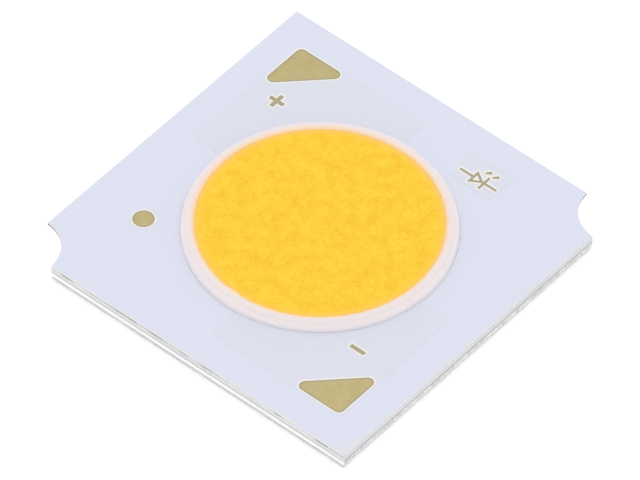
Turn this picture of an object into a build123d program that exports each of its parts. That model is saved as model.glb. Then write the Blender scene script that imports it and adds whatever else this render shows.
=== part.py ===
from build123d import *
import math
import os

# A square chip-on-board light source: a scored aluminium plate with a thin laminated circuit,
# a ring-shaped silicone dam and a yellow phosphor fill over three strings of light-emitting dies.
# Millimetres. The origin is the centre of the plate's underside, +Z is the side that lights.
# The plus pad is at (-X, +Y), the minus pad at (+X, -Y), the notches at (-X, -Y) and (+X, +Y).

# Blank: snapped out of a panel along scored lines, with a drilled hole at two corners
board_side = 19.0
top_score_depth = 0.32
bottom_score_depth = 0.30
score_half_angle = 15.0
notch_radius = 1.9

# Layer thicknesses, from the plate up
plate_thickness = 0.80
film_thickness = 0.03
laminate_thickness = 0.05
copper_thickness = 0.035
mask_thickness = 0.02
plating_thickness = 0.01

# Emitting surface and its dam, a round-topped bead laid in a ring
emitting_border = 3.90
dam_half_width = 0.41
dam_height = 0.50
bead_flats = 6
fill_below_crest = 0.10
meniscus_rise = 0.03
meniscus_width = 0.70
bead_overlap_angle = 265.5
bead_overlap_half_angle = 10.0
bead_overlap_slack = 0.02
bead_overlap_drop = 0.01
bead_overlap_tail = 0.07

# Circuit: two copper planes, split across the middle, each with a land for the bond wires
bond_shelf = 0.24
land_setback = 0.05
mask_tuck = 0.05
plane_half_gap = 0.50
plane_corner_radius = 0.25
mask_step_margin = 0.04

# Solder pads, right triangles in the two square corners of the board
pad_margin = 1.71
pad_leg = 2.90
pad_corner_radius = 0.28
pad_copper_rim = 0.12

# Polarity signs, placed from their pads' square corners
sign_length = 0.80
sign_stroke = 0.20
plus_from_pad_x = 1.32
plus_from_pad_y = 3.20
minus_from_pad_x = 1.85
minus_from_pad_y = 3.40

# Case temperature point, placed from the board's edges
case_point_radius = 0.50
case_point_copper_rim = 0.12
case_point_from_left = 3.18
case_point_from_bottom = 4.80

# Diode symbol on its own copper patch, whose nearest corner is placed from the dam's foot
symbol_length = 2.10
symbol_stroke = 0.12
symbol_triangle_length = 0.66
symbol_triangle_height = 0.80
symbol_axis_drop = 0.24
symbol_arrow_length = 0.34
symbol_arrow_head = 0.26
symbol_arrow_spacing = 0.42
symbol_arrow_lift = 0.50
symbol_patch_length = 2.42
symbol_patch_width = 1.72
symbol_from_dam = 0.33
symbol_bearing = 70.0

# Dies: strings of dies that zigzag between two lanes, from the minus land to the plus land
string_count = 3
dies_per_string = 12
die_side = 0.60
die_thickness = 0.12
attach_thickness = 0.02
die_edge_clearance = 0.10
outer_lane_angle = 50.0
string_direction = 135.0

# Bond wires
wire_diameter = 0.025
wire_sides = 4
wire_loop_height = 0.16
stitch_length = 0.05
bond_from_die_centre = 0.18
bond_from_land_edge = 0.15

# Heights that follow from the layers
laminate_bottom = plate_thickness + film_thickness
laminate_top = laminate_bottom + laminate_thickness
copper_top = laminate_top + copper_thickness
plating_top = copper_top + plating_thickness
low_mask_top = laminate_top + mask_thickness
high_mask_top = copper_top + mask_thickness
die_bottom = plate_thickness + attach_thickness
die_top = die_bottom + die_thickness
fill_edge_height = dam_height - fill_below_crest
fill_edge_top = low_mask_top + fill_edge_height

# Rings that follow from the board's side
half_side = board_side / 2
emitting_radius = half_side - emitting_border
round_start = dam_height - dam_half_width
dam_flank_run = math.sqrt(dam_half_width ** 2 - (fill_edge_height - round_start) ** 2)
dam_radius = emitting_radius + dam_flank_run
dam_inner_foot = dam_radius - dam_half_width
dam_outer_foot = dam_radius + dam_half_width
opening_radius = dam_inner_foot - bond_shelf
land_inner_radius = opening_radius + land_setback
bond_radius = land_inner_radius + bond_from_land_edge
mask_opening_radius = dam_radius + mask_tuck

# Places that follow from the board's edges and the dam
pad_corner = half_side - pad_margin
plane_outer = pad_corner + pad_copper_rim
plus_place = (-pad_corner + plus_from_pad_x, pad_corner - plus_from_pad_y)
minus_place = (pad_corner - minus_from_pad_x, -pad_corner + minus_from_pad_y)
case_point_place = (-half_side + case_point_from_left, -half_side + case_point_from_bottom)
symbol_corner_radius = dam_outer_foot + symbol_from_dam
symbol_corner_x = symbol_corner_radius * math.cos(math.radians(symbol_bearing))
symbol_corner_y = symbol_corner_radius * math.sin(math.radians(symbol_bearing))
symbol_place = (symbol_corner_x + symbol_patch_length / 2, symbol_corner_y + symbol_patch_width / 2)

# Lanes of dies that follow from the opening in the laminate
die_half_diagonal = die_side / math.sqrt(2)
die_ring_radius = opening_radius - die_edge_clearance - die_half_diagonal
lane_count = 2 * string_count
middle_lane = (lane_count - 1) / 2
lane_pitch = die_ring_radius * math.sin(math.radians(outer_lane_angle)) / middle_lane
string_frame = Rotation(0, 0, string_direction)


def scored_blank():
    """The snapped outline: a full-width web between two tapered score faces, with the notches."""
    web_bottom = bottom_score_depth
    web_top = low_mask_top - top_score_depth
    outline = Rectangle(board_side, board_side)
    web = extrude(Pos(0, 0, web_bottom) * outline, web_top - web_bottom)
    upper = extrude(Pos(0, 0, web_top) * outline, top_score_depth, taper=score_half_angle)
    lower = extrude(Pos(0, 0, web_bottom) * outline, -bottom_score_depth, taper=score_half_angle)
    drill = extrude(Circle(notch_radius), low_mask_top)
    lower_left = Pos(-half_side, -half_side) * drill
    upper_right = Pos(half_side, half_side) * drill
    return (web + upper + lower) - lower_left - upper_right


def blank_layer(blank, bottom, top):
    """The part of the blank between two heights."""
    slab = extrude(Pos(0, 0, bottom) * Rectangle(board_side, board_side), top - bottom)
    return blank & slab


def disc(radius, bottom, top):
    """A round slab between two heights."""
    return extrude(Pos(0, 0, bottom) * Circle(radius), top - bottom)


def raised(sketch, bottom, top):
    """A flat outline made solid between two heights."""
    return extrude(Pos(0, 0, bottom) * sketch, top - bottom)


def plane_outline():
    """One copper plane in the (+X, +Y) quarter, with a round bite for the emitting area."""
    side = plane_outer - plane_half_gap
    middle = plane_half_gap + side / 2
    square = Pos(middle, middle) * Rectangle(side, side)
    square = fillet(square.vertices(), plane_corner_radius)
    return square - Circle(land_inner_radius)


def pad_outline():
    """The solder pad in the (+X, +Y) quarter: a right triangle with rounded corners."""
    corner = (pad_corner, pad_corner)
    along_x = (pad_corner - pad_leg, pad_corner)
    along_y = (pad_corner, pad_corner - pad_leg)
    triangle = Polygon(corner, along_x, along_y, align=None)
    return fillet(triangle.vertices(), pad_corner_radius)


def minus_sign():
    """A bar."""
    return Rectangle(sign_length, sign_stroke)


def plus_sign():
    """Two crossed bars."""
    return Rectangle(sign_length, sign_stroke) + Rectangle(sign_stroke, sign_length)


def symbol_arrow():
    """One small arrow that points up and to the right, for the light given off."""
    shaft_length = symbol_arrow_length - symbol_arrow_head / 2
    shaft = Pos(shaft_length / 2, 0) * Rectangle(shaft_length, symbol_stroke)
    wing = symbol_arrow_head / 2
    head = Polygon((shaft_length, wing), (shaft_length, -wing), (symbol_arrow_length, 0), align=None)
    return Rot(0, 0, 45) * (shaft + head)


def diode_symbol():
    """The circuit symbol of a light-emitting diode: triangle, bar, two leads and two arrows."""
    tail = -symbol_triangle_length / 2
    tip = symbol_triangle_length / 2
    half_height = symbol_triangle_height / 2
    triangle = Polygon((tail, half_height), (tail, -half_height), (tip, 0), align=None)
    outline = triangle - offset(triangle, -symbol_stroke, kind=Kind.INTERSECTION)
    bar = Pos(tip, 0) * Rectangle(symbol_stroke, symbol_triangle_height)
    lead_length = symbol_length / 2 - tip
    lead = Rectangle(lead_length, symbol_stroke)
    left_lead = Pos(tail - lead_length / 2, 0) * lead
    right_lead = Pos(tip + lead_length / 2, 0) * lead
    symbol = Pos(0, -symbol_axis_drop) * (outline + bar + left_lead + right_lead)
    first_arrow = symbol_arrow_lift - symbol_axis_drop
    for step in (0, 1):
        symbol += Pos(step * symbol_arrow_spacing, first_arrow) * symbol_arrow()
    return symbol


def dam_section(half_width, height):
    """The bead's section about its own middle: a round top in flats, on sides down to the laminate."""
    foot_depth = low_mask_top - laminate_top
    side_height = height - half_width
    corners = [(-half_width, -foot_depth), (half_width, -foot_depth)]
    for step in range(bead_flats + 1):
        turn = math.pi * step / bead_flats
        corners.append((half_width * math.cos(turn), side_height + half_width * math.sin(turn)))
    return Polygon(*corners, align=None)


def dam_bead():
    """The ring, with the short straight run where the bead's end was laid over its start."""
    section = Plane.XZ * Pos(dam_radius, low_mask_top) * dam_section(dam_half_width, dam_height)
    ring = revolve(section, Axis.Z)
    half_angle = math.radians(bead_overlap_half_angle)
    chord_distance = dam_radius * math.cos(half_angle)
    run_half_length = dam_radius * math.sin(half_angle) + bead_overlap_tail
    run_half_width = dam_half_width - bead_overlap_slack
    run_section = dam_section(run_half_width, dam_height - bead_overlap_drop)
    run_section = Plane.XZ * Pos(chord_distance, low_mask_top) * run_section
    run = extrude(run_section, run_half_length, both=True)
    return ring + Rot(0, 0, bead_overlap_angle) * run


def phosphor_blank():
    """The fill before it takes the form of what it covers: level, and rising to the dam at its rim."""
    slope = meniscus_rise / meniscus_width
    level = fill_edge_top - meniscus_rise
    section = Polygon(
        (0, plate_thickness),
        (dam_radius, plate_thickness),
        (dam_radius, fill_edge_top + slope * (dam_radius - emitting_radius)),
        (emitting_radius - meniscus_width, level),
        (0, level),
        align=None,
    )
    return revolve(Plane.XZ * section, Axis.Z)


def lane_offset(lane):
    """How far a lane lies from the middle of the emitting area."""
    return (lane - middle_lane) * lane_pitch


def die_place(string, index):
    """A die's centre in the strings' frame, where +X runs from the minus land to the plus land."""
    lanes = (2 * string, 2 * string + 1)
    widest = max(abs(lane_offset(lane)) for lane in lanes)
    half_run = math.sqrt(die_ring_radius ** 2 - widest ** 2)
    pitch = 2 * half_run / (dies_per_string - 1)
    return Vector(index * pitch - half_run, lane_offset(lanes[index % 2]))


def die(string, index):
    """One light-emitting die."""
    place = die_place(string, index)
    return string_frame * Pos(place.X, place.Y) * raised(Rectangle(die_side, die_side), die_bottom, die_top)


def attach_dot(string, index):
    """The adhesive under one die."""
    place = die_place(string, index)
    square = Rectangle(die_side, die_side)
    return string_frame * Pos(place.X, place.Y) * raised(square, plate_thickness, die_bottom)


def bond_wire(start, end, end_height):
    """A wire that rises from the top of a die, and comes down to a stitch that lies flat."""
    heading = (end - start).normalized()
    radius = wire_diameter / 2
    stitch_start = end - heading * stitch_length
    stitch_height = end_height + radius
    path = Polyline(
        (start.X, start.Y, die_top),
        (start.X, start.Y, die_top + wire_loop_height),
        (stitch_start.X, stitch_start.Y, stitch_height),
        (end.X, end.Y, stitch_height),
    )
    base = Plane(origin=(start.X, start.Y, die_top), x_dir=heading, z_dir=(0, 0, 1))
    flat_turn = 180 / wire_sides
    section = base * RegularPolygon(radius, wire_sides, major_radius=False, rotation=flat_turn)
    return sweep(section, path=path, transition=Transition.RIGHT)


def string_wires(string):
    """The wires of one string: land to die, die to die, and die to land."""
    to_bond = Vector(bond_from_die_centre, 0)
    band_middle = (lane_offset(2 * string) + lane_offset(2 * string + 1)) / 2
    land_reach = math.sqrt(bond_radius ** 2 - band_middle ** 2)
    first = die_place(string, 0)
    last = die_place(string, dies_per_string - 1)
    wires = [bond_wire(first - to_bond, Vector(-land_reach, band_middle), plating_top)]
    for index in range(dies_per_string - 1):
        start = die_place(string, index) + to_bond
        end = die_place(string, index + 1) - to_bond
        wires.append(bond_wire(start, end, die_top))
    wires.append(bond_wire(last + to_bond, Vector(land_reach, band_middle), plating_top))
    return [string_frame * wire for wire in wires]


# Openings in the mask, which the plating fills and the copper backs
to_plus = Rot(0, 0, 90)
to_minus = Rot(0, 0, -90)
openings = {
    "positive_pad_plating": to_plus * pad_outline(),
    "negative_pad_plating": to_minus * pad_outline(),
    "plus_sign_plating": Pos(*plus_place) * plus_sign(),
    "minus_sign_plating": Pos(*minus_place) * minus_sign(),
    "case_point_plating": Pos(*case_point_place) * Circle(case_point_radius),
    "symbol_plating": Pos(*symbol_place) * diode_symbol(),
}
copper_outlines = {
    "positive_copper": to_plus * plane_outline(),
    "negative_copper": to_minus * plane_outline(),
    "case_point_copper": Pos(*case_point_place) * Circle(case_point_radius + case_point_copper_rim),
    "symbol_copper": Pos(*symbol_place) * Rectangle(symbol_patch_length, symbol_patch_width),
}
nodes = {}

# Plate, bonding film and laminate
blank = scored_blank()
opening = disc(opening_radius, plate_thickness, low_mask_top)
nodes["base_plate"] = blank_layer(blank, 0, plate_thickness)
nodes["bonding_film"] = blank_layer(blank, plate_thickness, laminate_bottom) - opening
nodes["laminate"] = blank_layer(blank, laminate_bottom, laminate_top) - opening

# Copper, and the mask that steps up over it
mask_opening = disc(mask_opening_radius, laminate_top, high_mask_top)
mask = blank_layer(blank, laminate_top, low_mask_top)
for name, outline in copper_outlines.items():
    nodes[name] = raised(outline, laminate_top, copper_top)
    mask += raised(offset(outline, mask_step_margin), laminate_top, high_mask_top)
for name in copper_outlines:
    mask -= nodes[name]
mask -= mask_opening

# Plating in the openings and on the two lands inside the dam
for name, outline in openings.items():
    nodes[name] = raised(outline, copper_top, plating_top)
    mask -= raised(outline, copper_top, high_mask_top)
nodes["solder_mask"] = mask
land_cover = Circle(mask_opening_radius)
for polarity in ("positive", "negative"):
    land = copper_outlines[polarity + "_copper"] & land_cover
    nodes[polarity + "_land_plating"] = raised(land, copper_top, plating_top)

# Dies and bond wires
attach_dots = []
covered = []
for string in range(string_count):
    for index in range(dies_per_string):
        name = f"string_{string + 1}_die_{index + 1:02d}"
        nodes[name] = die(string, index)
        covered.append(nodes[name])
        attach_dots.append(attach_dot(string, index))
    wires = string_wires(string)
    covered.extend(wires)
    nodes[f"string_{string + 1}_bond_wires"] = Compound(children=wires)
covered.extend(attach_dots)
nodes["die_attach"] = Compound(children=attach_dots)

# Dam and phosphor, which take the form of what they cover
circuit = ["laminate", "bonding_film", "positive_copper", "negative_copper"]
circuit += ["positive_land_plating", "negative_land_plating", "solder_mask"]
under_dam = [nodes[name] for name in circuit]
nodes["dam_ring"] = dam_bead() - under_dam
nodes["phosphor_fill"] = phosphor_blank() - under_dam - [nodes["dam_ring"]] - covered

os.makedirs("parts", exist_ok=True)
for name, shape in nodes.items():
    export_step(shape, f"parts/{name}.step")
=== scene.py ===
import math

import bpy
import numpy as np
from mathutils import Matrix, Vector, noise
from mathutils.geometry import delaunay_2d_cdt


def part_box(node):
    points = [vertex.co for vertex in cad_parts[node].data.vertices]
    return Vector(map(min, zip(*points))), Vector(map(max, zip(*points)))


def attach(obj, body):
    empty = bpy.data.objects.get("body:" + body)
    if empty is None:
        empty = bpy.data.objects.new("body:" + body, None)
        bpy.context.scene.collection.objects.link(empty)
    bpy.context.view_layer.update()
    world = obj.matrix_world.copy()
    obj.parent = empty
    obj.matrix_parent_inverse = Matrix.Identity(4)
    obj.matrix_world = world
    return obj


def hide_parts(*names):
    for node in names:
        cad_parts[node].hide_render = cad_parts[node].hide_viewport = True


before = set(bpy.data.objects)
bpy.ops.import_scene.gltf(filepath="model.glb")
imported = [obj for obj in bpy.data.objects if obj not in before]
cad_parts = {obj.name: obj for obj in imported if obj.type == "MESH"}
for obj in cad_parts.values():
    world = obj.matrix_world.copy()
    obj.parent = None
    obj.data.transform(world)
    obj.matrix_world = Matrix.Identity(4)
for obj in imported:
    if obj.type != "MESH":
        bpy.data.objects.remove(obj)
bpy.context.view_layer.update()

bl_info = {
    "name": "Chip-on-board light source",
    "version": (1, 0, 0),
    "blender": (4, 5, 0),
    "location": "View3D > Sidebar > Light source",
    "description": "Makes the board, dam and fill of a square chip-on-board light source",
    "category": "Add Mesh",
}

# The unit of the sizes below, and the distance under which two places are the same, in metres
MM = 0.001
SAME = 0.000001

# Steps along the board's sides, its notches and the bead
PLATE_SIDE_STEPS = 300
PLATE_ARC_STEPS = 50
MASK_SIDE_STEPS = 120
MASK_ARC_STEPS = 40
MASK_HOLE_STEPS = 240
MASK_FIELD_LINES = 48
BEAD_ROUND_STEPS = 14
BEAD_FOOT_STEPS = 5
FILL_WALL_STEPS = 8

# Rings of points on both sides of an outline, as shares of the width of what they shape
LIP_RINGS = (0.3, 0.7, 1.2)
RIM_RINGS = (0.45, 0.75, 1.1, 1.5)
SLOPE_RINGS = (0.17, 0.34, 0.5, 0.7)
EDGE_RINGS = (0.5, 1.0, 2.0)

# Rings of points inside the outline of a plated face, in metres
PLATING_RINGS = (0.012 * MM, 0.03 * MM, 0.055 * MM, 0.12 * MM)

# How far a plated face's greyer edge (painted shade of the mask's lip) and its rounded edge
# reach in, and how far the rounded one drops, in metres
LIP_SHADE_WIDTH = 0.12 * MM
ROUND_WIDTH = 0.03 * MM
ROUND_DROP = 0.002 * MM

# How much thinner the mask ends at an opening and at the board's edge, as shares
LIP_THINNING = 0.7
EDGE_THINNING = 0.5

# Levels of the plate's edge, as shares of the height of each kind of surface
LOWER_SHARES = (0, 0.12, 0.25, 0.4, 0.6, 0.8, 0.97)
WEB_SHARES = (0.08, 0.2, 0.32, 0.44, 0.56, 0.68, 0.8, 0.9)
SCORE_SHARES = (0.04, 0.3, 0.6, 0.85, 1.0)

# Corners that turn more than this get a fan of points, where an outline is set off
SHARP_TURN = math.radians(20)
FAN_POINTS = 5

# Where finishes and their painted shade and reflection change, in millimetres from the middle of the
# underside. A pair is where a change starts and where it is complete.
# The crack, crease and notch heights place painted shade; the score, web and lower heights bound
# painted reflection and shade
CRACK_HEIGHT = 0.733
CREASE_HEIGHT = 0.525
SCORE_SHADE_HEIGHTS = (0.51, 0.58)
WEB_START_HEIGHTS = (0.26, 0.31)
WEB_END_HEIGHTS = (0.41, 0.48)
LOWER_END_HEIGHTS = (0.22, 0.29)
NOTCH_SHADE_HEIGHTS = (0.670, 0.715)
# The fill's rim is painted more orange between these radii, for the dam's shade and its light
# through the thin rim
FILL_RIM_RADII = (5.2, 5.62)
FRAYED_RIGHT_X = (9.08, 9.32)
FRAYED_RIGHT_END_Y = (-8.9, -7.4)
FRAYED_FRONT_Y = (-9.12, -9.32)
FRAYED_FRONT_START_X = (8.6, 9.2)

# Heights and reaches that the frame gives, in metres
PLATE_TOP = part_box("base_plate")[1].z
LAMINATE_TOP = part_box("laminate")[1].z
COPPER_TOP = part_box("positive_copper")[1].z
PLATING_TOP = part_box("positive_pad_plating")[1].z
MASK_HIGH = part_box("solder_mask")[1].z
MASK_LOW = LAMINATE_TOP + MASK_HIGH - COPPER_TOP
DAM_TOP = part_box("dam_ring")[1].z
HALF_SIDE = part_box("base_plate")[1].x

PLATINGS = (
    "positive_pad_plating",
    "negative_pad_plating",
    "plus_sign_plating",
    "minus_sign_plating",
    "case_point_plating",
    "symbol_plating",
)
COPPERS = ("positive_copper", "negative_copper", "case_point_copper", "symbol_copper")
LANDS = ("positive_land_plating", "negative_land_plating")


def corner_levels(node):
    """The heights at which a node has corners, each with the node's half side there."""
    reach = {}
    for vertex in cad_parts[node].data.vertices:
        level = round(vertex.co.z / SAME) * SAME
        reach[level] = max(reach.get(level, 0), vertex.co.x)
    return sorted(reach.items())


def notch_size(node):
    """The radius of the hole at the board's left front corner."""
    corner = Vector((-HALF_SIDE, -HALF_SIDE))
    return min((vertex.co.xy - corner).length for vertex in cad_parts[node].data.vertices)


def crest_size(node):
    """The largest radius at which a ring-shaped node reaches the dam's top."""
    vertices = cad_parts[node].data.vertices
    return max(vertex.co.xy.length for vertex in vertices if vertex.co.z > DAM_TOP - SAME)


def middle_level(node):
    """The height of a round node's top, away from its rim."""
    reach = 0.9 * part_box(node)[1].x
    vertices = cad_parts[node].data.vertices
    return max(vertex.co.z for vertex in vertices if vertex.co.xy.length < reach)


PLATE_LEVELS = corner_levels("base_plate")
WEB_BOTTOM = PLATE_LEVELS[1][0]
WEB_TOP = PLATE_LEVELS[2][0]
UNDERSIDE_HALF_SIDE = PLATE_LEVELS[0][1]
LOWER_SLOPE = (HALF_SIDE - UNDERSIDE_HALF_SIDE) / WEB_BOTTOM
SCORE_SLOPE = (HALF_SIDE - PLATE_LEVELS[-1][1]) / (PLATE_TOP - WEB_TOP)
MASK_HALF_SIDE = HALF_SIDE - SCORE_SLOPE * (MASK_LOW - WEB_TOP)
NOTCH_RADIUS = notch_size("base_plate")
DAM_RADIUS = crest_size("dam_ring")
DAM_HALF_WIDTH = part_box("dam_ring")[1].x - DAM_RADIUS
DAM_ROUND_START = DAM_TOP - DAM_HALF_WIDTH
FILL_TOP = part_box("phosphor_fill")[1].z
FILL_LEVEL = middle_level("phosphor_fill")


class Wire:
    """An output socket of a material, on which Python's arithmetic adds Math nodes."""

    def __init__(self, recipe, socket):
        self.recipe = recipe
        self.socket = socket

    def math(self, operation, *values):
        """The values through one Math node."""
        return self.recipe.add("ShaderNodeMath", {"operation": operation}, dict(enumerate(values)))

    def __add__(self, other):
        return self.math("ADD", self, other)

    __radd__ = __add__

    def __sub__(self, other):
        return self.math("SUBTRACT", self, other)

    def __rsub__(self, other):
        return self.math("SUBTRACT", other, self)

    def __mul__(self, other):
        return self.math("MULTIPLY", self, other)

    __rmul__ = __mul__

    def __abs__(self):
        return self.math("ABSOLUTE", self)

    def step(self, low, high):
        """0 at the low value and before it, 1 at the high one and after it, smooth between them."""
        settings = {"interpolation_type": "SMOOTHSTEP"}
        return self.recipe.add("ShaderNodeMapRange", settings, {0: self, 1: low, 2: high})

    def part(self, index):
        """One of a vector's three numbers."""
        return self.recipe.add("ShaderNodeSeparateXYZ", {}, {0: self}, index)


class Recipe:
    """One material. Every node comes from add, and finish makes the shader."""

    def __init__(self, name):
        self.material = bpy.data.materials.new(name)
        self.material.use_nodes = True
        self.tree = self.material.node_tree
        self.tree.nodes.clear()

    def add(self, kind, settings, inputs, output=0):
        """A node with its settings made first, and then its sockets linked or set."""
        node = self.tree.nodes.new(kind)
        for key, value in settings.items():
            setattr(node, key, value)
        for key, value in inputs.items():
            if isinstance(value, Wire):
                self.tree.links.new(value.socket, node.inputs[key])
            else:
                node.inputs[key].default_value = value
        return Wire(self, node.outputs[output]) if node.outputs else None

    def place(self):
        """Where a point of the piece lies, in millimetres."""
        metres = self.add("ShaderNodeTexCoord", {}, {}, "Object")
        return self.scaled(metres, 1 / MM)

    def scaled(self, vector, factor):
        """A place or a colour times a factor."""
        return self.add("ShaderNodeVectorMath", {"operation": "SCALE"}, {0: vector, "Scale": factor})

    def drawn_out(self, place, factors):
        """A place pressed together or drawn out along each axis."""
        return self.add("ShaderNodeVectorMath", {"operation": "MULTIPLY"}, {0: place, 1: factors})

    def radius(self, place):
        """How far a place lies from the middle of the board, in millimetres."""
        flat = self.drawn_out(place, (1, 1, 0))
        return self.add("ShaderNodeVectorMath", {"operation": "LENGTH"}, {0: flat}, "Value")

    def grain(self, place, per_mm, detail=2.0):
        """Soft noise between about -0.5 and 0.5."""
        inputs = {"Vector": place, "Scale": per_mm, "Detail": detail}
        return self.add("ShaderNodeTexNoise", {"noise_dimensions": "3D"}, inputs) - 0.5

    def painted(self, name):
        """A value that the mesh holds at each of its points."""
        return self.add("ShaderNodeAttribute", {"attribute_name": name}, {}, "Fac")

    def mix(self, share, first, second):
        """Two colours mixed, by the sockets that the Mix node keeps for colours."""
        inputs = {0: share, 6: self.full(first), 7: self.full(second)}
        return self.add("ShaderNodeMix", {"data_type": "RGBA"}, inputs, 2)

    def lit(self, colour, strength):
        """A colour made lighter or darker."""
        return self.scaled(colour if isinstance(colour, Wire) else tuple(colour)[:3], strength)

    @staticmethod
    def full(colour):
        """A linked colour as it is, or three numbers with the fourth that a socket wants."""
        return colour if isinstance(colour, Wire) else (*tuple(colour)[:3], 1.0)

    def bump(self, height, depth):
        """A normal from a height between about 0 and 1 that stands for a depth in metres."""
        return self.add("ShaderNodeBump", {}, {"Height": height, "Distance": depth})

    def finish(self, inputs):
        """The shader and the output, and the material that they make."""
        shader = self.add("ShaderNodeBsdfPrincipled", {}, inputs)
        self.add("ShaderNodeOutputMaterial", {}, {"Surface": shader})
        return self.material


def colour_property(name, description, default):
    """A colour that a user can change, with its values from 0 to 1 in linear light."""
    return bpy.props.FloatVectorProperty(
        name=name, description=description, subtype="COLOR", default=default, min=0, max=1
    )


def length_property(name, description, default):
    """A length that a user can change, kept in metres."""
    return bpy.props.FloatProperty(
        name=name, description=description, unit="LENGTH", default=default, min=0, precision=6
    )


def share_property(name, description, default):
    """A share from 0 to 1 that a user can change."""
    return bpy.props.FloatProperty(
        name=name, description=description, subtype="FACTOR", default=default, min=0, max=1
    )


def count_property(name, description, default, least):
    """A number of steps that a user can change."""
    return bpy.props.IntProperty(name=name, description=description, default=default, min=least)


def place_property(name, description, default):
    """A place that a user can change, kept in metres."""
    return bpy.props.FloatVectorProperty(
        name=name, description=description, subtype="TRANSLATION", unit="LENGTH", default=default
    )


def angle_property(name, description, degrees):
    """An angle that a user can change."""
    return bpy.props.FloatProperty(
        name=name, description=description, subtype="ANGLE", default=math.radians(degrees)
    )


class PlateSettings(bpy.types.PropertyGroup):
    """The snapped aluminium plate."""

    tear_depth: length_property("Tear depth", "How far the snapped web is torn in", 0.03 * MM)
    score_chatter: length_property("Score chatter", "Ripple of the scored faces", 0.004 * MM)
    crease_depth: length_property("Crease depth", "Groove under the score, across", 0.03 * MM)
    crease_width: length_property("Crease width", "Groove under the score, upwards", 0.03 * MM)
    burr_depth: length_property("Burr depth", "How far the lower edge is broken in", 0.08 * MM)
    metal: colour_property("Metal", "Bare aluminium", (0.82, 0.82, 0.83))
    # Painted shade: the dark lines of the crack, the crease and the notch walls under the mask
    painted_shade: colour_property("Painted shade", "Dark lines in the cracks and the crease", (0.22, 0.21, 0.20))


class LayerSettings(bpy.types.PropertyGroup):
    """The layers that show as lines, and the pieces under the mask and the fill."""

    film: colour_property("Film", "The bonding film", (0.69, 0.67, 0.66))
    laminate: colour_property("Laminate", "The white laminate", (0.74, 0.74, 0.78))
    copper: colour_property("Copper", "The copper foil", (0.72, 0.35, 0.22))
    lands: colour_property("Lands", "The plated lands", (0.56, 0.49, 0.22))
    die: colour_property("Die", "The dies", (0.25, 0.36, 0.55))
    adhesive: colour_property("Adhesive", "The dots under the dies", (0.78, 0.78, 0.74))
    wire: colour_property("Wire", "The bond wires", (0.83, 0.60, 0.20))


class MaskSettings(bpy.types.PropertyGroup):
    """The white solder mask."""

    spacing: length_property("Spacing", "Distance between points along the openings", 0.05 * MM)
    lip: length_property("Lip", "Width of the rounded lip at an opening", 0.02 * MM)
    rim: length_property("Rim", "Width of the thin cream rim at an opening", 0.09 * MM)
    slope: length_property("Slope", "Width of the slope over a copper edge", 0.09 * MM)
    flare: length_property("Flare", "How much a notch opens at its front end", 0.15 * MM)
    white: colour_property("White", "The mask on the laminate", (0.669, 0.691, 0.803))
    over_copper: colour_property("Over copper", "The mask on copper", (0.661, 0.674, 0.763))
    cream: colour_property("Cream", "The thin rim of an opening", (0.83, 0.80, 0.73))
    worn: colour_property("Worn", "The thin frayed edge at the front corner", (0.70, 0.70, 0.72))


class GoldSettings(bpy.types.PropertyGroup):
    """The gold plating of the pads, signs, symbol and temperature point."""

    light: colour_property("Light", "Lighter patches", (0.57, 0.475, 0.25))
    dark: colour_property("Dark", "Darker patches", (0.42, 0.355, 0.17))
    # The greyer edge is a painted shade of the mask's lip on the gold
    edge: colour_property("Edge", "The greyer edge", (0.35, 0.335, 0.26))


class DamSettings(bpy.types.PropertyGroup):
    """The silicone dam."""

    turns: count_property("Steps", "Steps round the ring", 480, 60)
    flank: length_property("Flank", "From the crest's middle to the outer side", 0.36 * MM)
    foot_width: length_property("Foot width", "How far the outer foot runs out", 0.06 * MM)
    foot_height: length_property("Foot height", "How high the outer foot begins", 0.07 * MM)
    foot_edge: length_property("Foot edge", "How high the outer foot ends", 0.008 * MM)
    overlap_angle: angle_property("Overlap", "Where the bead's end lies over its start", 267.8)
    overlap_start: angle_property("Overlap's start", "From the bulge's middle to its start", 7.5)
    overlap_end: angle_property("Overlap's end", "From the bulge's middle to its end", 5.5)
    overlap_bulge: length_property("Bulge", "How far the overlap stands in", 0.115 * MM)
    waver: length_property("Waver", "How unevenly the bead was laid", 0.012 * MM)
    white: colour_property("White", "The crest", (0.78, 0.705, 0.71))
    # The outer side and the outer foot are painted lighter, for light through the translucent bead
    outer: colour_property("Outer", "The outer side", (0.89, 0.82, 0.83))
    foot: colour_property("Foot", "The thin outer foot", (0.98, 0.97, 1.0))
    peach: colour_property("Peach", "The inner side, lit through the fill", (1.0, 0.66, 0.33))


class FillSettings(bpy.types.PropertyGroup):
    """The phosphor fill."""

    rings: count_property("Rings", "Rings from the middle to the rim", 64, 8)
    climb_width: length_property("Climb", "Width of the rim that climbs the dam", 0.6 * MM)
    swell: length_property("Swell", "How uneven the surface is", 0.004 * MM)
    yellow: colour_property("Yellow", "The fill", (0.91, 0.565, 0.034))
    pale: colour_property("Pale", "Lighter specks", (0.95, 0.66, 0.060))
    deep: colour_property("Deep", "Darker specks", (0.86, 0.47, 0.018))
    # The orange of the rim is painted: the dam's shade and its light through the fill's thin rim
    orange: colour_property("Orange", "The rim", (0.955, 0.565, 0.10))


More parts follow.
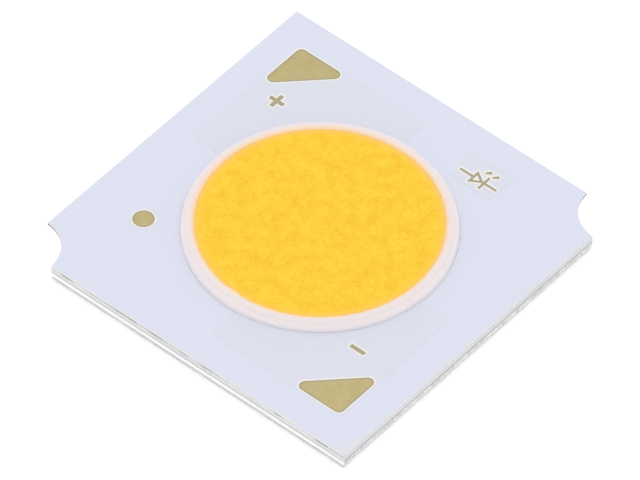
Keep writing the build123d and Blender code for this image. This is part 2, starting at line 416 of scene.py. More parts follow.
class StageSettings(bpy.types.PropertyGroup):
    """The floor, the light and the camera."""

    azimuth: angle_property("Azimuth", "How far the camera stands to the right", 40.204)
    elevation: angle_property("Elevation", "How high the camera stands above the floor", 48.053)
    roll: angle_property("Roll", "How far the camera leans", 0.396)
    distance: length_property("Distance", "From the camera to its aim", 478.5 * MM)
    focal_length: bpy.props.FloatProperty(
        name="Focal length", description="Of the lens, in millimetres", unit="CAMERA", default=604.66
    )
    aim: place_property("Aim", "Where the camera points", (0.1955 * MM, -0.2216 * MM, 0.4648 * MM))
    floor: colour_property("Floor", "A plain pale floor", (0.95, 0.95, 0.95))
    floor_reach: length_property("Floor's reach", "From the middle to a side", 0.6)
    glow: share_property("Glow", "Light that comes through the floor, as on a light table", 0.2)
    sky: share_property("Sky", "Even light from all round", 0.98)
    light_place: place_property("Light's place", "Where the soft light hangs", (-0.1, 0.1, 0.8))
    light_size: length_property("Light's size", "How wide the soft light is", 0.8)
    light_power: bpy.props.FloatProperty(
        name="Light's power", description="Of the soft light", unit="POWER", default=1.0, min=0
    )


def settings():
    """The sizes and colours of the pieces."""
    return bpy.context.scene.light_source


def mesh_object(name, vertices, faces, material, body="root"):
    """A piece with its place in its mesh, riding on a body."""
    mesh = bpy.data.meshes.new(name)
    mesh.from_pydata([tuple(vertex) for vertex in vertices], [], faces)
    mesh.update()
    piece = bpy.data.objects.new(name, mesh)
    bpy.context.scene.collection.objects.link(piece)
    mesh.materials.append(material)
    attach(piece, body)
    return piece


def paint(piece, name, values):
    """Keeps a value at each of the mesh's points, for its material."""
    layer = piece.data.attributes.new(name, "FLOAT", "POINT")
    layer.data.foreach_set("value", np.asarray(values, dtype=np.float32))


def smooth(piece, sharp_degrees):
    """Smooth shading, apart from edges that turn more than an angle."""
    piece.data.polygons.foreach_set("use_smooth", [True] * len(piece.data.polygons))
    piece.data.set_sharp_from_angle(angle=math.radians(sharp_degrees))


def dress(nodes, material):
    """Gives nodes of the frame their finish."""
    for node in nodes:
        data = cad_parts[node].data
        data.materials.clear()
        data.materials.append(material)


def top_outlines(node):
    """The closed outlines of a node's top face, each an array of points in order."""
    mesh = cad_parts[node].data
    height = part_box(node)[1].z - SAME
    spots = {}
    sides = set()
    for polygon in mesh.polygons:
        corners = [mesh.vertices[index].co for index in polygon.vertices]
        if min(corner.z for corner in corners) > height:
            keys = [(round(corner.x / SAME), round(corner.y / SAME)) for corner in corners]
            spots.update({key: corner.xy for key, corner in zip(keys, corners)})
            sides.update(zip(keys, keys[1:] + keys[:1]))
    following = {start: end for start, end in sides if (end, start) not in sides}
    outlines = []
    while following:
        start, here = following.popitem()
        outline = [spots[start]]
        while here != start:
            outline.append(spots[here])
            here = following.pop(here)
        outlines.append(np.array(outline))
    return outlines


def divided(outline, spacing):
    """A closed outline with points no further apart than the spacing."""
    points = []
    for start, end in zip(outline, np.roll(outline, -1, axis=0)):
        count = max(1, math.ceil(np.linalg.norm(end - start) / spacing))
        points.extend(start + (end - start) * step / count for step in range(count))
    return np.array(points)


def signed_distance(points, outlines, chunk=1000):
    """How far points lie from the nearest outline: below 0 inside, above 0 outside."""
    starts = np.vstack(outlines)
    along = np.vstack([np.roll(outline, -1, axis=0) for outline in outlines]) - starts
    lengths = np.maximum((along ** 2).sum(1), SAME ** 2)
    rise = np.where(along[:, 1] == 0, SAME, along[:, 1])
    found = np.empty(len(points))
    for first in range(0, len(points), chunk):
        spot = points[first:first + chunk, None, :]
        share = np.clip(((spot - starts) * along).sum(-1) / lengths, 0, 1)
        gap = np.linalg.norm(spot - starts - share[..., None] * along, axis=-1).min(1)
        crossed = (starts[:, 1] > spot[..., 1]) != (starts[:, 1] + along[:, 1] > spot[..., 1])
        left = spot[..., 0] < starts[:, 0] + (spot[..., 1] - starts[:, 1]) * along[:, 0] / rise
        inside = (crossed & left).sum(1) % 2 == 1
        found[first:first + chunk] = np.where(inside, -gap, gap)
    return found


def ring_points(outline, gaps):
    """Points beside a closed outline at some gaps from it, with fans at its corners."""
    before = outline - np.roll(outline, 1, axis=0)
    after = np.roll(outline, -1, axis=0) - outline
    points = []
    for spot, into, out in zip(outline, before, after):
        first = math.atan2(into[1], into[0])
        turn = (math.atan2(out[1], out[0]) - first + math.pi) % (2 * math.pi) - math.pi
        fan = FAN_POINTS if abs(turn) > SHARP_TURN else 1
        for step in range(fan):
            angle = first + turn * (step + 0.5) / fan - math.pi / 2
            normal = np.array((math.cos(angle), math.sin(angle)))
            points.extend(spot + normal * gap for gap in gaps)
    return np.array(points)


def rings_beside(outlines, gaps, spacing):
    """Points on both sides of several outlines, none much nearer to any of them than its gap."""
    kept = []
    for gap in gaps:
        rings = [ring_points(divided(outline, spacing), (gap, -gap)) for outline in outlines]
        points = np.vstack(rings)
        clear = np.abs(signed_distance(points, outlines)) > gap * 0.9
        kept.append(points[clear])
    return np.vstack(kept)


def triangulated(outlines, loose):
    """The whole plane round outlines and loose points: its points and its triangles.

    It is cut in millimetres, so that the tolerance of the cut is far below any of its gaps.
    """
    points = np.vstack([*outlines, loose]) / MM
    edges = []
    first = 0
    for outline in outlines:
        count = len(outline)
        edges.extend((first + step, first + (step + 1) % count) for step in range(count))
        first += count
    made = delaunay_2d_cdt([Vector(point) for point in points], edges, [], 0, 1e-6, False)
    return np.array([tuple(vertex) for vertex in made[0]]) * MM, np.array(made[2])


def sheet(name, points, triangles, tops, bottoms, material):
    """A closed thin sheet from triangles whose points have tops and bottoms, and the points used."""
    used = np.unique(triangles)
    renumbered = np.full(len(points), -1)
    renumbered[used] = np.arange(len(used))
    triangles = renumbered[triangles]
    count = len(used)
    flat = points[used]
    vertices = np.vstack([np.c_[flat, tops[used]], np.c_[flat, bottoms[used]]])
    upper = [tuple(int(index) for index in corners) for corners in triangles]
    lower = [tuple(index + count for index in reversed(corners)) for corners in upper]
    sides = {(a, b) for corners in upper for a, b in zip(corners, corners[1:] + corners[:1])}
    walls = [(b, a, a + count, b + count) for a, b in sides if (b, a) not in sides]
    return mesh_object(name, vertices, upper + lower + walls, material), used


def eased(value):
    """A value from 0 to 1 with a smooth start and end."""
    share = np.clip(value, 0, 1)
    return share * share * (3 - 2 * share)


def rough(place, per_mm, octaves):
    """Fixed noise between about -1 and 1 at a place in metres."""
    return noise.fractal(Vector(place) * per_mm / MM, 1.0, 2.0, octaves)


def notch_arc(half_side, radius, steps, flare):
    """The left front notch, from the board's left side to its front, where it may flare."""
    start = math.asin((HALF_SIDE - half_side) / radius)
    end = math.pi / 2 - start
    flare_angle = math.radians(16)
    arc = []
    for step in range(steps + 1):
        angle = end + (start - end) * step / steps
        reach = radius + flare * max(0, 1 - angle / flare_angle) ** 2
        spot = (reach * math.cos(angle) - HALF_SIDE, reach * math.sin(angle) - HALF_SIDE)
        arc.append([max(-half_side, value) for value in spot])
    return np.array(arc)


def board_outline(half_side, side_steps, arc_steps, flare=0, inset=0):
    """The notched square, anticlockwise from the end of its left side, and set in by the inset."""
    half_side = half_side - inset
    corner = np.array([(half_side, -half_side)])
    left_front = notch_arc(half_side, NOTCH_RADIUS + inset, arc_steps, flare)
    right_back = -left_front[::-1, ::-1]
    halves = ((left_front, corner, right_back), (right_back, -corner, left_front))
    runs = []
    for arc, turn, following in halves:
        runs.append(arc)
        runs.append(np.linspace(arc[-1], turn[0], side_steps + 1)[1:])
        runs.append(np.linspace(turn[0], following[0], side_steps + 1)[1:-1])
    return np.vstack(runs)


def waver(angle, swings, start, beats, delay):
    """How unevenly the bead was laid at an angle, from 0 to 1."""
    return 0.5 + 0.5 * math.sin(swings * angle + start) * math.cos(beats * angle + delay)


def dam_inner(angle):
    """How far the bead's inner foot lies from its middle, with the bulge of its overlap."""
    dam = settings().dam
    away = (angle - dam.overlap_angle + math.pi) % (2 * math.pi) - math.pi
    spread = dam.overlap_start if away < 0 else dam.overlap_end
    bulge = dam.overlap_bulge * eased(1 - abs(away) / spread)
    laid = waver(angle, swings=5, start=1.3, beats=2, delay=0.4)
    return DAM_HALF_WIDTH + bulge + dam.waver * laid


def inner_flank(inner, height):
    """How far the bead's inner side lies from its middle at a height."""
    lean = max(0, height - DAM_ROUND_START) / DAM_HALF_WIDTH
    return inner * math.sqrt(1 - lean * lean)


def bead_section(angle):
    """The bead's section at an angle, from its inner foot over its crest to its outer one."""
    dam = settings().dam
    inner = dam_inner(angle)
    flank = dam.flank - dam.waver * waver(angle, swings=4, start=0.7, beats=3, delay=2.1)
    section = [(-inner, LAMINATE_TOP)]
    for step in range(BEAD_ROUND_STEPS + 1):
        lean = math.pi / 2 * step / BEAD_ROUND_STEPS
        height = DAM_ROUND_START + DAM_HALF_WIDTH * math.sin(lean)
        section.append((-inner * math.cos(lean), height))
    rise = DAM_TOP - MASK_LOW
    last_lean = math.acos(dam.foot_height / rise)
    for step in range(1, BEAD_ROUND_STEPS + 1):
        lean = last_lean * step / BEAD_ROUND_STEPS
        section.append((flank * math.sin(lean), MASK_LOW + rise * math.cos(lean)))
    start = section[-1][0]
    for step in range(1, BEAD_FOOT_STEPS + 1):
        share = step / BEAD_FOOT_STEPS
        height = dam.foot_edge + (dam.foot_height - dam.foot_edge) * (1 - share) ** 2
        section.append((start + dam.foot_width * share ** 2, MASK_LOW + height))
    section.append((section[-1][0], LAMINATE_TOP))
    return section


def spun(name, sections, closed, material):
    """A ring or a disc from sections of radii and heights that stand round the middle."""
    turns = len(sections)
    size = len(sections[0])
    vertices = []
    for turn, section in enumerate(sections):
        angle = 2 * math.pi * turn / turns
        across, along = math.cos(angle), math.sin(angle)
        vertices.extend((radius * across, radius * along, height) for radius, height in section)
    faces = []
    for turn in range(turns):
        here = turn * size
        there = (turn + 1) % turns * size
        for step in range(size if closed else size - 1):
            following = (step + 1) % size
            faces.append((here + step, here + following, there + following, there + step))
    if not closed:
        faces.append(tuple(turn * size for turn in range(turns)))
        faces.append(tuple(turn * size + size - 1 for turn in reversed(range(turns))))
    return mesh_object(name, vertices, faces, material)


def silicone_finish():
    """Translucent white silicone, peach where the fill lights it, painted lighter on its outer side
    and foot.

    The mesh holds how far a point lies across the bead: about -1 at its inner foot, 0 at its
    middle and about 1 where its outer foot ends.
    """
    dam = settings().dam
    recipe = Recipe("dam silicone")
    across = recipe.painted("across")
    place = recipe.place()
    uneven = across + recipe.grain(place, per_mm=0.8, detail=2) * 0.15
    # Painted light: the outer side and the outer foot lighter, for light through the translucent
    # bead
    outer_side = uneven.step(0.3, 0.8)
    outer_foot = across.step(0.88, 1.04)
    inner_side = 1 - uneven.step(-0.78, 0.05)
    colour = recipe.mix(outer_side, dam.white, dam.outer)
    colour = recipe.mix(outer_foot, colour, dam.foot)
    colour = recipe.mix(inner_side, colour, dam.peach)
    cloud = recipe.grain(place, per_mm=3.0, detail=3)
    return recipe.finish({
        "Base Color": recipe.lit(colour, 1 + cloud * 0.03),
        "Roughness": 0.38 + recipe.grain(place, per_mm=6.0) * 0.1,
        "Normal": recipe.bump(cloud, 0.01 * MM),
        "Specular IOR Level": 0.4,
        "Subsurface Weight": 0.6,
        "Subsurface Radius": (1.0, 0.8, 0.7),
        "Subsurface Scale": 0.3 * MM,
    })


def make_dam():
    """The dam: a smooth bead laid in a ring, with its end laid over its start."""
    dam = settings().dam
    flat = [bead_section(2 * math.pi * turn / dam.turns) for turn in range(dam.turns)]
    sections = [[(DAM_RADIUS + reach, height) for reach, height in section] for section in flat]
    piece = spun("dam", sections, True, silicone_finish())
    reaches = [reach for section in flat for reach, height in section]
    paint(piece, "across", [reach / DAM_HALF_WIDTH for reach in reaches])
    smooth(piece, 60)
    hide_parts("dam_ring")
    return piece


def fill_section(angle):
    """The fill's section at an angle, from its middle over its rim and down the bead."""
    fill = settings().fill
    inner = dam_inner(angle)
    rim = DAM_RADIUS - inner_flank(inner, FILL_TOP)
    section = []
    for step in range(1, fill.rings + 1):
        radius = rim * step / fill.rings
        climb = max(0, 1 - (rim - radius) / fill.climb_width)
        spot = (radius * math.cos(angle), radius * math.sin(angle), 0)
        calm = min(1, (rim - radius) / fill.climb_width)
        swell = fill.swell * rough(spot, per_mm=0.45, octaves=3) * calm
        section.append((radius, FILL_LEVEL + (FILL_TOP - FILL_LEVEL) * climb ** 2 + swell))
    for step in range(1, FILL_WALL_STEPS + 1):
        height = FILL_TOP + (LAMINATE_TOP - FILL_TOP) * step / FILL_WALL_STEPS
        section.append((DAM_RADIUS - inner_flank(inner, height), height))
    return section


def make_fill():
    """The phosphor fill: nearly level, and climbing the bead at its rim."""
    turns = settings().dam.turns
    sections = [fill_section(2 * math.pi * turn / turns) for turn in range(turns)]
    piece = spun("fill", sections, False, phosphor_finish())
    smooth(piece, 60)
    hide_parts("phosphor_fill")
    return piece


def phosphor_finish():
    """Yellow silicone full of fine phosphor grains, painted more orange towards its rim for the
    dam's shade and light.
    """
    fill = settings().fill
    recipe = Recipe("phosphor silicone")
    place = recipe.place()
    clouds = recipe.grain(place, per_mm=1.6, detail=4)
    specks = recipe.grain(place, per_mm=9.0, detail=3)
    colour = recipe.mix(clouds * 1.5 + specks * 1.6 + 0.5, fill.deep, fill.pale)
    colour = recipe.mix(0.25, colour, fill.yellow)
    radius = recipe.radius(place) + recipe.grain(place, per_mm=0.9) * 0.15
    # Painted tint at the rim: the dam's shade and its light through the thin fill
    colour = recipe.mix(radius.step(*FILL_RIM_RADII), colour, fill.orange)
    return recipe.finish({
        "Base Color": colour,
        "Roughness": 0.5 + specks * 0.15,
        "Normal": recipe.bump(specks + clouds * 0.5, 0.004 * MM),
        "Specular IOR Level": 0.12,
    })


def mask_finish():
    """White solder mask, darker over copper, cream at its openings and frayed at one corner.

    The frayed corner is the one at +X and -Y, along both of its sides.
    """
    mask = settings().mask
    recipe = Recipe("solder mask")
    place = recipe.place()
    clouds = recipe.grain(place, per_mm=0.5, detail=3)
    peel = recipe.grain(place, per_mm=7.0, detail=3)
    colour = recipe.mix(recipe.painted("over_copper"), mask.white, mask.over_copper)
    x, y = place.part(0), place.part(1)
    frayed = recipe.grain(place, per_mm=5.0, detail=3) * 0.3
    right = (x + frayed).step(*FRAYED_RIGHT_X) * (1 - y.step(*FRAYED_RIGHT_END_Y))
    front = (y - frayed).step(*FRAYED_FRONT_Y) * x.step(*FRAYED_FRONT_START_X)
    colour = recipe.mix((right + front) * 0.9, colour, mask.worn)
    colour = recipe.mix(recipe.painted("rim"), colour, mask.cream)
    return recipe.finish({
        "Base Color": recipe.lit(colour, 1 + clouds * 0.02 + peel * 0.015),
        "Roughness": 0.42 + peel * 0.08,
        "Normal": recipe.bump(peel, 0.002 * MM),
        "Specular IOR Level": 0.3,
    })


def mask_points(board, openings, coppers):
    """Points for the mask's sheet: rings beside every outline, and an even field away from them."""
    mask = settings().mask
    lip_gaps = [mask.lip * share for share in LIP_RINGS]
    rim_gaps = [mask.rim * share for share in RIM_RINGS]
    slope_gaps = [mask.slope * share for share in SLOPE_RINGS]
    edge_gaps = [mask.lip * share for share in EDGE_RINGS]
    lip_rings = rings_beside(openings, lip_gaps, mask.spacing)
    rim_rings = rings_beside(openings, rim_gaps, mask.spacing)
    slope_rings = rings_beside(coppers, slope_gaps, 2 * mask.spacing)
    edge_rings = rings_beside([board], edge_gaps, 4 * mask.spacing)
    lines = np.linspace(-MASK_HALF_SIDE, MASK_HALF_SIDE, MASK_FIELD_LINES)
    field = np.array([(x, y) for x in lines for y in lines])
    clear = np.abs(signed_distance(field, [*openings, *coppers])) > 2 * mask.rim
    return np.vstack([lip_rings, rim_rings, slope_rings, edge_rings, field[clear]])


def make_mask():
    """The solder mask: stepped over the copper, with a rounded lip round every opening."""
    mask = settings().mask
    openings = [outline for node in PLATINGS for outline in top_outlines(node)]
    coppers = [outline for node in COPPERS for outline in top_outlines(node)]
    board = board_outline(MASK_HALF_SIDE, MASK_SIDE_STEPS, MASK_ARC_STEPS, mask.flare)
    hole_turns = np.linspace(0, 2 * math.pi, MASK_HOLE_STEPS, endpoint=False)
    hole = DAM_RADIUS * np.c_[np.cos(hole_turns), np.sin(hole_turns)]
    loose = mask_points(board, openings, coppers)
    far = np.abs(signed_distance(loose, [*openings, board, hole])) > mask.lip * 0.2
    cuts = [divided(outline, mask.spacing) for outline in openings]
    points, triangles = triangulated([*cuts, board, hole], loose[far])
    middles = points[triangles].mean(1)
    shown = (signed_distance(middles, [board]) < 0) & (signed_distance(middles, openings) > 0)
    shown &= np.linalg.norm(middles, axis=1) > DAM_RADIUS
    opening_gap = np.abs(signed_distance(points, openings))
    edge_gap = np.abs(signed_distance(points, [board]))
    raised = eased(0.5 - signed_distance(points, coppers) / mask.slope)
    lip = 1 - np.clip(opening_gap / mask.lip, 0, 1)
    edge_lip = 1 - np.clip(edge_gap / mask.lip, 0, 1)
    thickness = MASK_LOW - LAMINATE_TOP
    bottoms = LAMINATE_TOP + raised * (COPPER_TOP - LAMINATE_TOP)
    remaining = 1 - LIP_THINNING * lip ** 2 - EDGE_THINNING * edge_lip ** 2
    tops = bottoms + thickness * remaining
    material = mask_finish()
    piece, used = sheet("solder_mask_sheet", points, triangles[shown], tops, bottoms, material)
    rim = 1 - eased((opening_gap / mask.rim - 0.6) / 0.5)
    paint(piece, "rim", np.tile(rim[used], 2))
    paint(piece, "over_copper", np.tile(raised[used], 2))
    smooth(piece, 60)
    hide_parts("solder_mask")
    return piece


def gold_finish():
    """Satin gold over nickel, finely mottled and greyer towards its edge, a painted shade of the
    mask's lip.
    """
    gold = settings().gold
    recipe = Recipe("gold plating")
    place = recipe.place()
    clouds = recipe.grain(place, per_mm=2.5, detail=4)
    grain = recipe.grain(place, per_mm=14.0, detail=3)
    colour = recipe.mix(0.5 + clouds * 1.0 + grain * 0.8, gold.dark, gold.light)
    colour = recipe.mix(recipe.painted("edge"), colour, gold.edge)
    return recipe.finish({
        "Base Color": colour,
        "Metallic": 1.0,
        "Roughness": 0.45 + grain * 0.2,
        "Normal": recipe.bump(grain, 0.003 * MM),
    })


def make_plating(node, material):
    """One pad, sign or symbol: a thin plated face with a softly rounded edge."""
    spacing = settings().mask.spacing
    outlines = top_outlines(node)
    loose = rings_beside(outlines, PLATING_RINGS, spacing)
    loose = loose[signed_distance(loose, outlines) < 0]
    cuts = [divided(outline, spacing) for outline in outlines]
    points, triangles = triangulated(cuts, loose)
    shown = signed_distance(points[triangles].mean(1), outlines) < 0
    gap = np.abs(signed_distance(points, outlines))
    tops = PLATING_TOP - ROUND_DROP * (1 - eased(gap / ROUND_WIDTH))
    bottoms = np.full(len(points), COPPER_TOP)
    name = node.replace("_plating", "_face")
    piece, used = sheet(name, points, triangles[shown], tops, bottoms, material)
    # The greyer edge is a painted shade of the mask's lip
    edge = 1 - eased(gap / LIP_SHADE_WIDTH)
    paint(piece, "edge", np.tile(edge[used], 2))
    smooth(piece, 40)
    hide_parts(node)
    return piece


def plate_finish():
    """Bare aluminium: scored faces over a bright or torn web, drilled notches, a rolled underside.

    From the top down a side has a dashed crack in its scored face, a crease where that face
    meets the snapped web, the web, and a darker lower face. The crack and the crease are painted
    shade, and so is a dark line on the notch walls under the mask. The web's brightness, the
    darker scored and lower faces and the lighter notch walls are painted reflection and shade.
    The mesh holds which sides are torn and which faces lie in a notch.
    """
    plate = settings().plate
    recipe = Recipe("plate aluminium")
    place = recipe.place()
    height = place.part(2)
    side = height.step(0.0, 0.004)
    torn = recipe.painted("torn") * side
    notch = recipe.painted("notch") * side
    streaks = recipe.grain(recipe.drawn_out(place, (0.4, 0.4, 12)), per_mm=1.5, detail=4)
    flakes = recipe.grain(recipe.drawn_out(place, (1, 1, 0.7)), per_mm=7.0, detail=4)
    dashes = recipe.grain(recipe.drawn_out(place, (1, 1, 0.1)), per_mm=1.0, detail=3)
    rolled = recipe.grain(recipe.drawn_out(place, (0.15, 3, 1)), per_mm=6.0, detail=3)
    # Painted shade: a dashed dark line for the crack and a dark line in the crease
    crack_line = 1 - abs(height - CRACK_HEIGHT).step(0.014, 0.042)
    crack = crack_line * dashes.step(-0.15, 0.12) * (0.9 - torn * 0.9)
    crease_line = 1 - abs(height - CREASE_HEIGHT).step(0.008, torn * 0.030 + 0.040)
    crease = crease_line * (0.5 + torn * 0.3)
    # Painted reflection and shade: scored faces darker, the web lighter on sheared sides and darker
    # and flaked on torn ones, the lower face darker
    score_shade = height.step(*SCORE_SHADE_HEIGHTS) * (0.2 + torn * 0.05)
    web = height.step(*WEB_START_HEIGHTS) * (1 - height.step(*WEB_END_HEIGHTS))
    web_light = web * (0.08 - torn * 0.28 + flakes * torn * 1.2)
    lower_shade = (1 - height.step(*LOWER_END_HEIGHTS)) * (0.24 - torn * 0.12) * side
    cut = web_light - score_shade - lower_shade
    # The notch walls are painted lighter, a painted reflection of the drilled walls
    colour = recipe.lit(plate.metal, 1 + streaks * 0.25 + cut * (1 - notch) + notch * 0.18)
    # Painted shadow under the mask's edge, near the top of the notch walls
    shadow_under_mask = height.step(*NOTCH_SHADE_HEIGHTS) * notch * (1.0 + dashes)
    colour = recipe.mix((crack + crease) * (1 - notch) + shadow_under_mask, colour, plate.painted_shade)
    underside = 1 - height.step(0, 0.02)
    lift = streaks + flakes * torn * web * 2 + rolled * underside * 0.5
    return recipe.finish({
        "Base Color": colour,
        "Metallic": 1.0,
        "Roughness": 0.34 + flakes * 0.2 - notch * 0.22,
        "Normal": recipe.bump(lift * (1 - notch * 0.9), 0.012 * MM),
    })


def plate_sections():
    """The plate's edge from its underside up: heights, half sides, insets and kinds of surface."""
    plate = settings().plate
    sections = []
    for share in LOWER_SHARES:
        height = share * WEB_BOTTOM
        sections.append((height, UNDERSIDE_HALF_SIDE + LOWER_SLOPE * height, 0, "lower"))
    for share in WEB_SHARES:
        sections.append((WEB_BOTTOM + share * (WEB_TOP - WEB_BOTTOM), HALF_SIDE, 0, "web"))
    sections.append((WEB_TOP - plate.crease_width / 2, HALF_SIDE, plate.crease_depth, "crease"))
    for share in SCORE_SHARES:
        height = WEB_TOP + share * (PLATE_TOP - WEB_TOP)
        sections.append((height, HALF_SIDE - SCORE_SLOPE * (height - WEB_TOP), 0, "score"))
    return sections


def notched(x, y):
    """Whether a place lies on the wall of a notch."""
    left_front = math.hypot(x + HALF_SIDE, y + HALF_SIDE)
    right_back = math.hypot(x - HALF_SIDE, y - HALF_SIDE)
    return min(left_front, right_back) < NOTCH_RADIUS + SAME


def plate_inward(place, kind):
    """How far the plate's edge stands in at a place, for its kind of surface and its side."""
    plate = settings().plate
    x, y, height = place
    if kind == "web":
        depth = plate.tear_depth if abs(x) > abs(y) else plate.tear_depth / 5
        return depth * (0.5 + 0.5 * rough(place, per_mm=5.0, octaves=4))
    if kind == "lower":
        near_underside = max(0, 1 - height / (0.3 * WEB_BOTTOM))
        broken = near_underside * max(0, rough((x, y, 0), per_mm=1.1, octaves=4) + 0.15)
        ragged = 0.5 + 0.5 * rough(place, per_mm=3.0, octaves=3)
        return plate.burr_depth * broken + plate.tear_depth * 0.4 * ragged
    if kind == "score":
        return plate.score_chatter * (0.5 + 0.5 * rough(place, per_mm=4.0, octaves=2))
    return 0


def make_plate():
    """The plate, with torn, creased and broken edges inside its outline."""
    sections = plate_sections()
    vertices = []
    torn = []
    notch = []
    for height, half_side, inset, kind in sections:
        for x, y in board_outline(half_side, PLATE_SIDE_STEPS, PLATE_ARC_STEPS, inset=inset):
            on_notch = inset == 0 and notched(x, y)
            inward = 0 if on_notch else max(0, plate_inward((x, y, height), kind))
            push = inward / max(abs(x), abs(y))
            vertices.append((x * (1 - push), y * (1 - push), height))
            torn.append(1.0 if abs(x) > abs(y) else 0.0)
            notch.append(1.0 if on_notch else 0.0)
    count = len(vertices) // len(sections)
    faces = []
    for level in range(len(sections) - 1):
        for step in range(count):
            here = level * count + step
            there = level * count + (step + 1) % count
            faces.append((here, there, there + count, here + count))
    faces.append(tuple(reversed(range(count))))
    faces.append(tuple(range(len(vertices) - count, len(vertices))))
    piece = mesh_object("plate_snapped", vertices, faces, plate_finish())
    paint(piece, "torn", torn)
    paint(piece, "notch", notch)
    smooth(piece, 45)
    for face in piece.data.polygons[-2:]:
        face.use_smooth = False
    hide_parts("base_plate")
    return piece


def plain_finish(name, colour, roughness, metallic, per_mm, contrast):
    """A finish that varies softly, for the layers and the pieces inside."""
    recipe = Recipe(name)
    place = recipe.place()
    cloud = recipe.grain(place, per_mm, 3)
    return recipe.finish({
        "Base Color": recipe.lit(colour, 1 + cloud * contrast),
        "Roughness": roughness + cloud * 0.15,
        "Metallic": metallic,
        "Normal": recipe.bump(cloud, 0.004 * MM),
    })


def floor_finish():
    """A plain pale floor."""
    stage = settings().stage
    recipe = Recipe("pale floor")
    cloud = recipe.grain(recipe.place(), per_mm=0.02, detail=2)
    return recipe.finish({
        "Base Color": recipe.lit(stage.floor, 1 + cloud * 0.01),
        "Roughness": 0.9 + cloud * 0.05,
        "Specular IOR Level": 0.0,
        "Emission Color": (1, 1, 1, 1),
        "Emission Strength": stage.glow,
    })


def soft_light(name, place, size, watts):
    """A square soft light that points at the board."""
    data = bpy.data.lights.new(name, "AREA")
    data.shape = "SQUARE"
    data.size = size
    data.energy = watts
    light = bpy.data.objects.new(name, data)
    light.location = place
    light.rotation_mode = "QUATERNION"
    light.rotation_quaternion = Vector(place).to_track_quat("Z", "Y")
    bpy.context.scene.collection.objects.link(light)


def make_stage():
    """The floor, the soft light and the camera."""
    stage = settings().stage
    reach = stage.floor_reach
    corners = [(-reach, -reach, 0), (reach, -reach, 0), (reach, reach, 0), (-reach, reach, 0)]
    mesh = bpy.data.meshes.new("floor")
    mesh.from_pydata(corners, [], [(0, 1, 2, 3)])
    mesh.materials.append(floor_finish())
    floor = bpy.data.objects.new("floor", mesh)
    bpy.context.scene.collection.objects.link(floor)
    world = bpy.data.worlds.new("soft room")
    world.use_nodes = True
    world.node_tree.nodes["Background"].inputs["Color"].default_value = (1, 1, 1, 1)
    world.node_tree.nodes["Background"].inputs["Strength"].default_value = stage.sky
    bpy.context.scene.world = world
    soft_light("top light", stage.light_place, stage.light_size, stage.light_power)
    camera_data = bpy.data.cameras.new("camera")
    camera_data.lens = stage.focal_length
    camera = bpy.data.objects.new("camera", camera_data)
    bpy.context.scene.collection.objects.link(camera)
    level = math.cos(stage.elevation)
    across, along = level * math.sin(stage.azimuth), -level * math.cos(stage.azimuth)
    back = Vector((across, along, math.sin(stage.elevation)))
    camera.rotation_mode = "QUATERNION"
    lean = Matrix.Rotation(stage.roll, 4, "Z").to_quaternion()
    camera.rotation_quaternion = back.to_track_quat("Z", "Y") @ lean
    camera.location = Vector(stage.aim) + back * stage.distance
    bpy.context.scene.camera = camera
    bpy.context.scene.view_settings.view_transform = "Standard"


class MakePlate(bpy.types.Operator):
    """Makes the snapped aluminium plate"""

    bl_idname = "light_source.make_plate"
    bl_label = "Make plate"

    def execute(self, context):
        make_plate()
        return {"FINISHED"}


class FinishLayers(bpy.types.Operator):
    """Finishes the bonding film and the laminate"""

    bl_idname = "light_source.finish_layers"
    bl_label = "Finish film and laminate"

    def execute(self, context):
        layers = settings().layers
        film = plain_finish("bonding film", layers.film, 0.6, 0, per_mm=5.0, contrast=0.3)
        laminate = plain_finish("white laminate", layers.laminate, 0.6, 0, per_mm=6.0, contrast=0.2)
        dress(["bonding_film"], film)
        dress(["laminate"], laminate)
        return {"FINISHED"}


class FinishCopper(bpy.types.Operator):
    """Finishes the copper and the plated lands under the dam and the fill"""

    bl_idname = "light_source.finish_copper"
    bl_label = "Finish copper"

    def execute(self, context):
        layers = settings().layers
        copper = plain_finish("copper foil", layers.copper, 0.35, 1, per_mm=4.0, contrast=0.3)
        gold = plain_finish("land plating", layers.lands, 0.4, 1, per_mm=6.0, contrast=0.3)
        dress(COPPERS, copper)
        dress(LANDS, gold)
        return {"FINISHED"}


class MakeMask(bpy.types.Operator):
    """Makes the stepped solder mask with its openings"""

    bl_idname = "light_source.make_mask"
    bl_label = "Make solder mask"

    def execute(self, context):
        make_mask()
        return {"FINISHED"}


class MakePlatings(bpy.types.Operator):
    """Makes the gold faces of the pads, signs, symbol and temperature point"""

    bl_idname = "light_source.make_platings"
    bl_label = "Make gold faces"

    def execute(self, context):
        gold = gold_finish()
        for node in PLATINGS:
            make_plating(node, gold)
        return {"FINISHED"}


class FinishDies(bpy.types.Operator):
    """Finishes the dies, their adhesive and their bond wires inside the fill"""

    bl_idname = "light_source.finish_dies"
    bl_label = "Finish dies and wires"

    def execute(self, context):
        layers = settings().layers
        sapphire = plain_finish("die", layers.die, 0.15, 0, per_mm=5.0, contrast=0.3)
        wire = plain_finish("bond wire", layers.wire, 0.25, 1, per_mm=20.0, contrast=0.2)
        adhesive = plain_finish("die adhesive", layers.adhesive, 0.5, 0, per_mm=8.0, contrast=0.1)
        dress(["die_attach"], adhesive)
        dress([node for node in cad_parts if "_die_" in node], sapphire)
        dress([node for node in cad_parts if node.endswith("_bond_wires")], wire)
        return {"FINISHED"}


class MakeDam(bpy.types.Operator):
    """Makes the silicone dam"""

    bl_idname = "light_source.make_dam"
    bl_label = "Make dam"

    def execute(self, context):
        make_dam()
        return {"FINISHED"}


class MakeFill(bpy.types.Operator):
    """Makes the phosphor fill"""

    bl_idname = "light_source.make_fill"
    bl_label = "Make phosphor fill"

    def execute(self, context):
        make_fill()
        return {"FINISHED"}


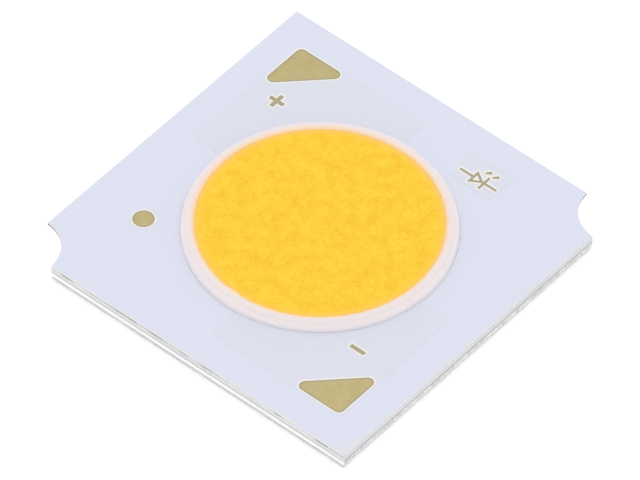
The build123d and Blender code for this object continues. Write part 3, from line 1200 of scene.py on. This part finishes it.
class MakeStage(bpy.types.Operator):
    """Makes the floor, the light and the camera"""

    bl_idname = "light_source.make_stage"
    bl_label = "Make stage"

    def execute(self, context):
        make_stage()
        return {"FINISHED"}


def group_property(kind, name, description):
    """The settings of one piece, or of a group of like pieces."""
    return bpy.props.PointerProperty(type=kind, name=name, description=description)


class LightSourceSettings(bpy.types.PropertyGroup):
    """The sizes and colours of every piece."""

    plate: group_property(PlateSettings, "Plate", "Its edges and metal")
    layers: group_property(LayerSettings, "Layers", "The tones of the layers and the inner pieces")
    mask: group_property(MaskSettings, "Mask", "Its rims and whites")
    gold: group_property(GoldSettings, "Gold", "Its tones")
    dam: group_property(DamSettings, "Dam", "Its form and tones")
    fill: group_property(FillSettings, "Fill", "Its form and tones")
    stage: group_property(StageSettings, "Stage", "The camera, the light and the floor")


OPERATORS = (
    MakePlate,
    FinishLayers,
    FinishCopper,
    MakeMask,
    MakePlatings,
    FinishDies,
    MakeDam,
    MakeFill,
    MakeStage,
)


class LightSourcePanel(bpy.types.Panel):
    """Lists the pieces of the light source"""

    bl_idname = "VIEW3D_PT_light_source"
    bl_label = "Light source"
    bl_space_type = "VIEW_3D"
    bl_region_type = "UI"
    bl_category = "Light source"

    def draw(self, context):
        for operator in OPERATORS:
            self.layout.operator(operator.bl_idname)


GROUPS = (
    PlateSettings,
    LayerSettings,
    MaskSettings,
    GoldSettings,
    DamSettings,
    FillSettings,
    StageSettings,
)
CLASSES = (*GROUPS, LightSourceSettings, *OPERATORS, LightSourcePanel)


def register():
    """Makes the classes and the settings known to Blender."""
    for item in CLASSES:
        bpy.utils.register_class(item)
    bpy.types.Scene.light_source = bpy.props.PointerProperty(type=LightSourceSettings)


def unregister():
    """Takes the settings and the classes away again."""
    del bpy.types.Scene.light_source
    for item in reversed(CLASSES):
        bpy.utils.unregister_class(item)


def main():
    """Makes every piece and the stage."""
    register()
    for operator in OPERATORS:
        group, name = operator.bl_idname.split(".")
        getattr(getattr(bpy.ops, group), name)()


if __name__ == "__main__":
    main()
